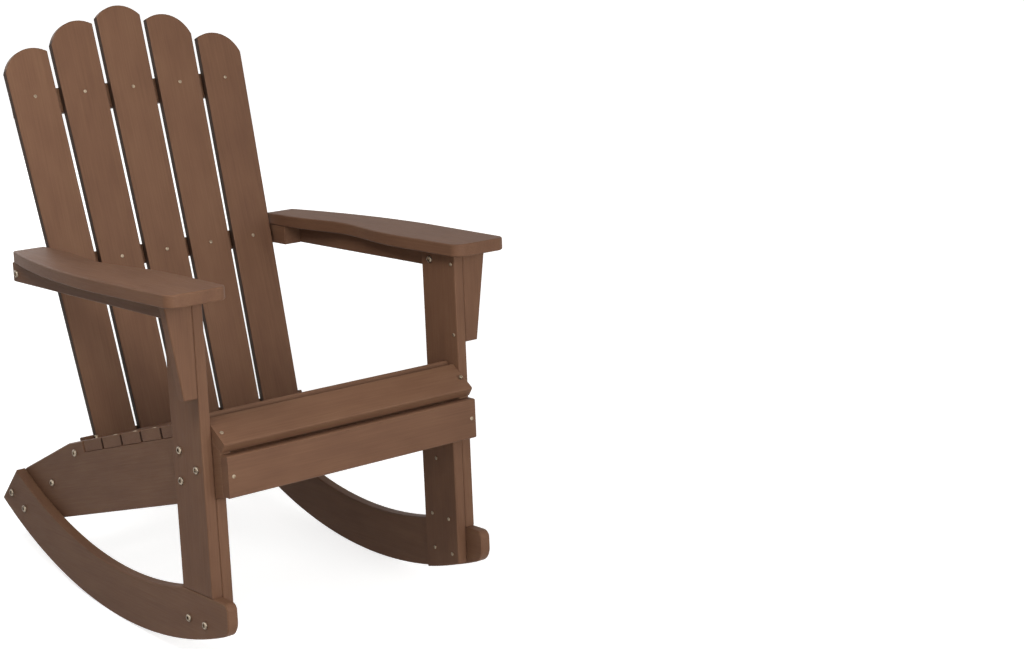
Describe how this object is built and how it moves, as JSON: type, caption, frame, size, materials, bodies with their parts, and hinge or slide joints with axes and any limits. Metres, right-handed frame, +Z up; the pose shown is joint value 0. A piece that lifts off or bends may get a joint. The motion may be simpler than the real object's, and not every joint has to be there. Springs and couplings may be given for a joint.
{
  "type": "rocking adirondack chair",
  "caption": "Rocking adirondack garden chair with curved runners, a slatted waterfall seat, broad paddle arms and a raked fan back with arched tops.",
  "frame": {"origin": "centre of the overall box at floor level, with the chair at rest on its rockers", "axes": "+Z up, -Y the way the sitter faces, +X to the right as seen from the front"},
  "size_m": [0.706, 0.8104, 1.0242],
  "materials": {
    "mocha_lumber": "mocha brown through-coloured poly lumber, satin, faint lengthwise grain",
    "bolt_metal": "dark bronze coated bolt heads, satin",
    "screw_metal": "dull tan coated screw heads"
  },
  "bodies": {
    "root": {"apron_screws": "screw_metal", "arm_bracket_left": "mocha_lumber", "arm_bracket_right": "mocha_lumber", "arm_rail_bolts": "bolt_metal", "arm_rail_left": "mocha_lumber", "arm_rail_right": "mocha_lumber", "armrest_left": "mocha_lumber", "armrest_right": "mocha_lumber", "back_slat_1": "mocha_lumber", "back_slat_2": "mocha_lumber", "back_slat_3": "mocha_lumber", "back_slat_4": "mocha_lumber", "back_slat_5": "mocha_lumber", "back_slat_screws": "screw_metal", "bracket_screws": "screw_metal", "cleat_block_left": "mocha_lumber", "cleat_block_right": "mocha_lumber", "front_apron": "mocha_lumber", "front_seat_slat": "mocha_lumber", "inner_leg_left": "mocha_lumber", "inner_leg_right": "mocha_lumber", "inner_leg_screws": "screw_metal", "leg_bolts": "bolt_metal", "leg_top_bolts": "bolt_metal", "lower_back_rail": "mocha_lumber", "mid_back_rail": "mocha_lumber", "outer_leg_left": "mocha_lumber", "outer_leg_right": "mocha_lumber", "rear_stretcher": "mocha_lumber", "rocker_bolts": "bolt_metal", "rocker_left": "mocha_lumber", "rocker_right": "mocha_lumber", "seat_slat_2": "mocha_lumber", "seat_slat_3": "mocha_lumber", "seat_slat_4": "mocha_lumber", "seat_slat_5": "mocha_lumber", "seat_slat_6": "mocha_lumber", "seat_slat_7": "mocha_lumber", "seat_slat_screws": "screw_metal", "seat_stringer_left": "mocha_lumber", "seat_stringer_right": "mocha_lumber", "stringer_bolts": "bolt_metal", "top_back_rail": "mocha_lumber"}
  },
  "joints": []
}
